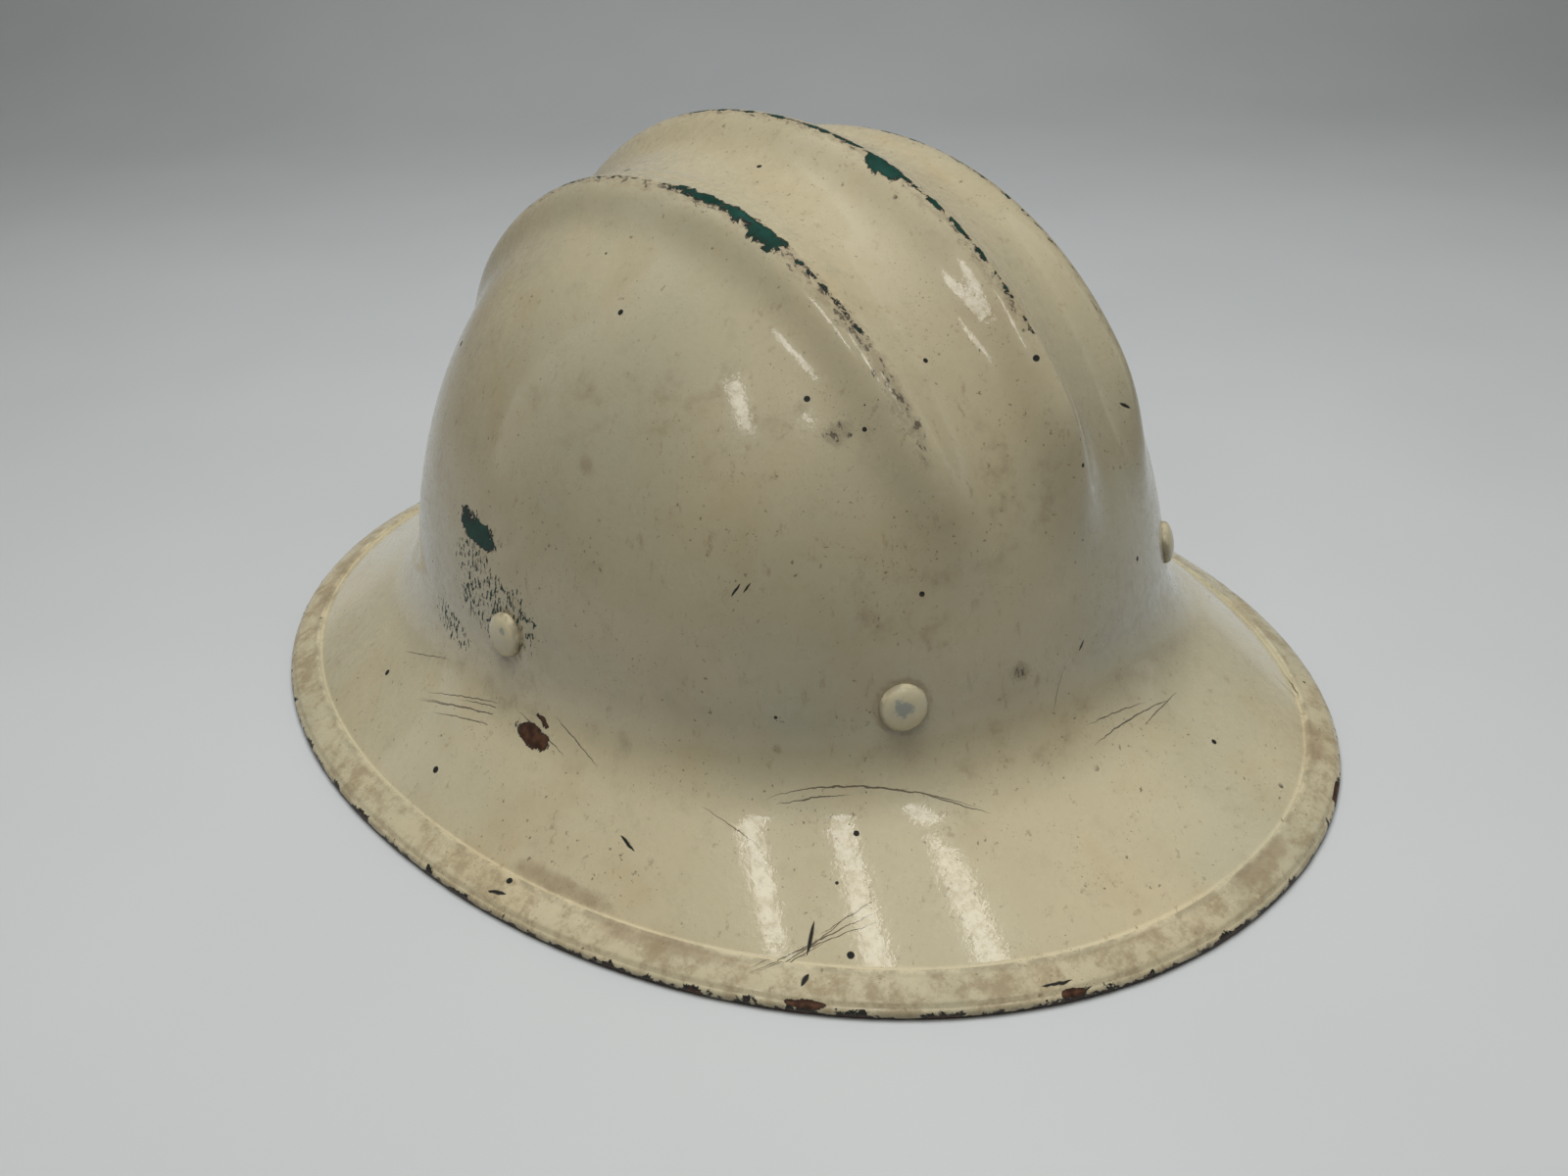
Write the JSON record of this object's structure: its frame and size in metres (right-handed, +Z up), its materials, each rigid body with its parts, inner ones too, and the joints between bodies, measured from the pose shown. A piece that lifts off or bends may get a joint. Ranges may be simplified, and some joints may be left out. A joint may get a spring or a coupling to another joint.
{
  "type": "hard hat",
  "caption": "Full-brim hard hat with three crown ribs, painted laminate shell, riveted web cradle, leather sweatband and nape buckle.",
  "frame": {"origin": "middle of the rim, on the plane that the rim stands on", "axes": "+Z up through the crown, -Y out of the front of the hat, +X to the wearer's left as the hat is worn facing -Y; left and right in node names are as seen from the front, so right is +X"},
  "size_m": [0.2674, 0.33, 0.157],
  "materials": {
    "shell_paint": "aged cream gloss paint over green paint on a brown resin laminate",
    "rivet_paint": "painted over with the shell, thin on the crowns of the heads",
    "washer_steel": "dull",
    "cradle_cotton": "woven cotton webbing, soiled",
    "lace_cotton": "braided cotton lace",
    "headband_fibre": "black vulcanised fibre",
    "sweatband_leather": "tan leather, darkened by wear",
    "strap_leather": "dark brown strap leather",
    "buckle_steel": "nickel plated wire, dulled",
    "rivet_brass": "tarnished"
  },
  "bodies": {
    "hat": {"shell": "shell_paint", "rivet_front_left": "rivet_paint", "rivet_side_left": "rivet_paint", "rivet_rear_left": "rivet_paint", "rivet_front_right": "rivet_paint", "rivet_side_right": "rivet_paint", "rivet_rear_right": "rivet_paint", "washer_front_left": "washer_steel", "washer_side_left": "washer_steel", "washer_rear_left": "washer_steel", "washer_front_right": "washer_steel", "washer_side_right": "washer_steel", "washer_rear_right": "washer_steel", "cradle_tape_front_left": "cradle_cotton", "cradle_tape_side_left": "cradle_cotton", "cradle_tape_rear_left": "cradle_cotton", "cradle_tape_front_right": "cradle_cotton", "cradle_tape_side_right": "cradle_cotton", "cradle_tape_rear_right": "cradle_cotton", "crown_lace": "lace_cotton", "headband": "headband_fibre", "sweatband": "sweatband_leather", "nape_strap": "strap_leather", "buckle_chape": "strap_leather", "strap_keeper": "strap_leather", "strap_rivet_left_inner": "rivet_brass", "strap_rivet_left_outer": "rivet_brass", "strap_rivet_right_inner": "rivet_brass", "strap_rivet_right_outer": "rivet_brass"},
    "buckle_frame": {"buckle_frame": "buckle_steel"},
    "buckle_prong": {"buckle_prong": "buckle_steel"}
  },
  "joints": [
    {"name": "buckle_frame_hinge", "type": "hinge", "parent": "hat", "child": "buckle_frame", "pos_m": [0.00934, 0.09959, 0.017], "axis": [0, 0, -1], "range_deg": [0, 20]},
    {"name": "buckle_prong_hinge", "type": "hinge", "parent": "buckle_frame", "child": "buckle_prong", "pos_m": [0.00934, 0.09959, 0.017], "axis": [0, 0, -1], "range_deg": [0, 35]}
  ]
}
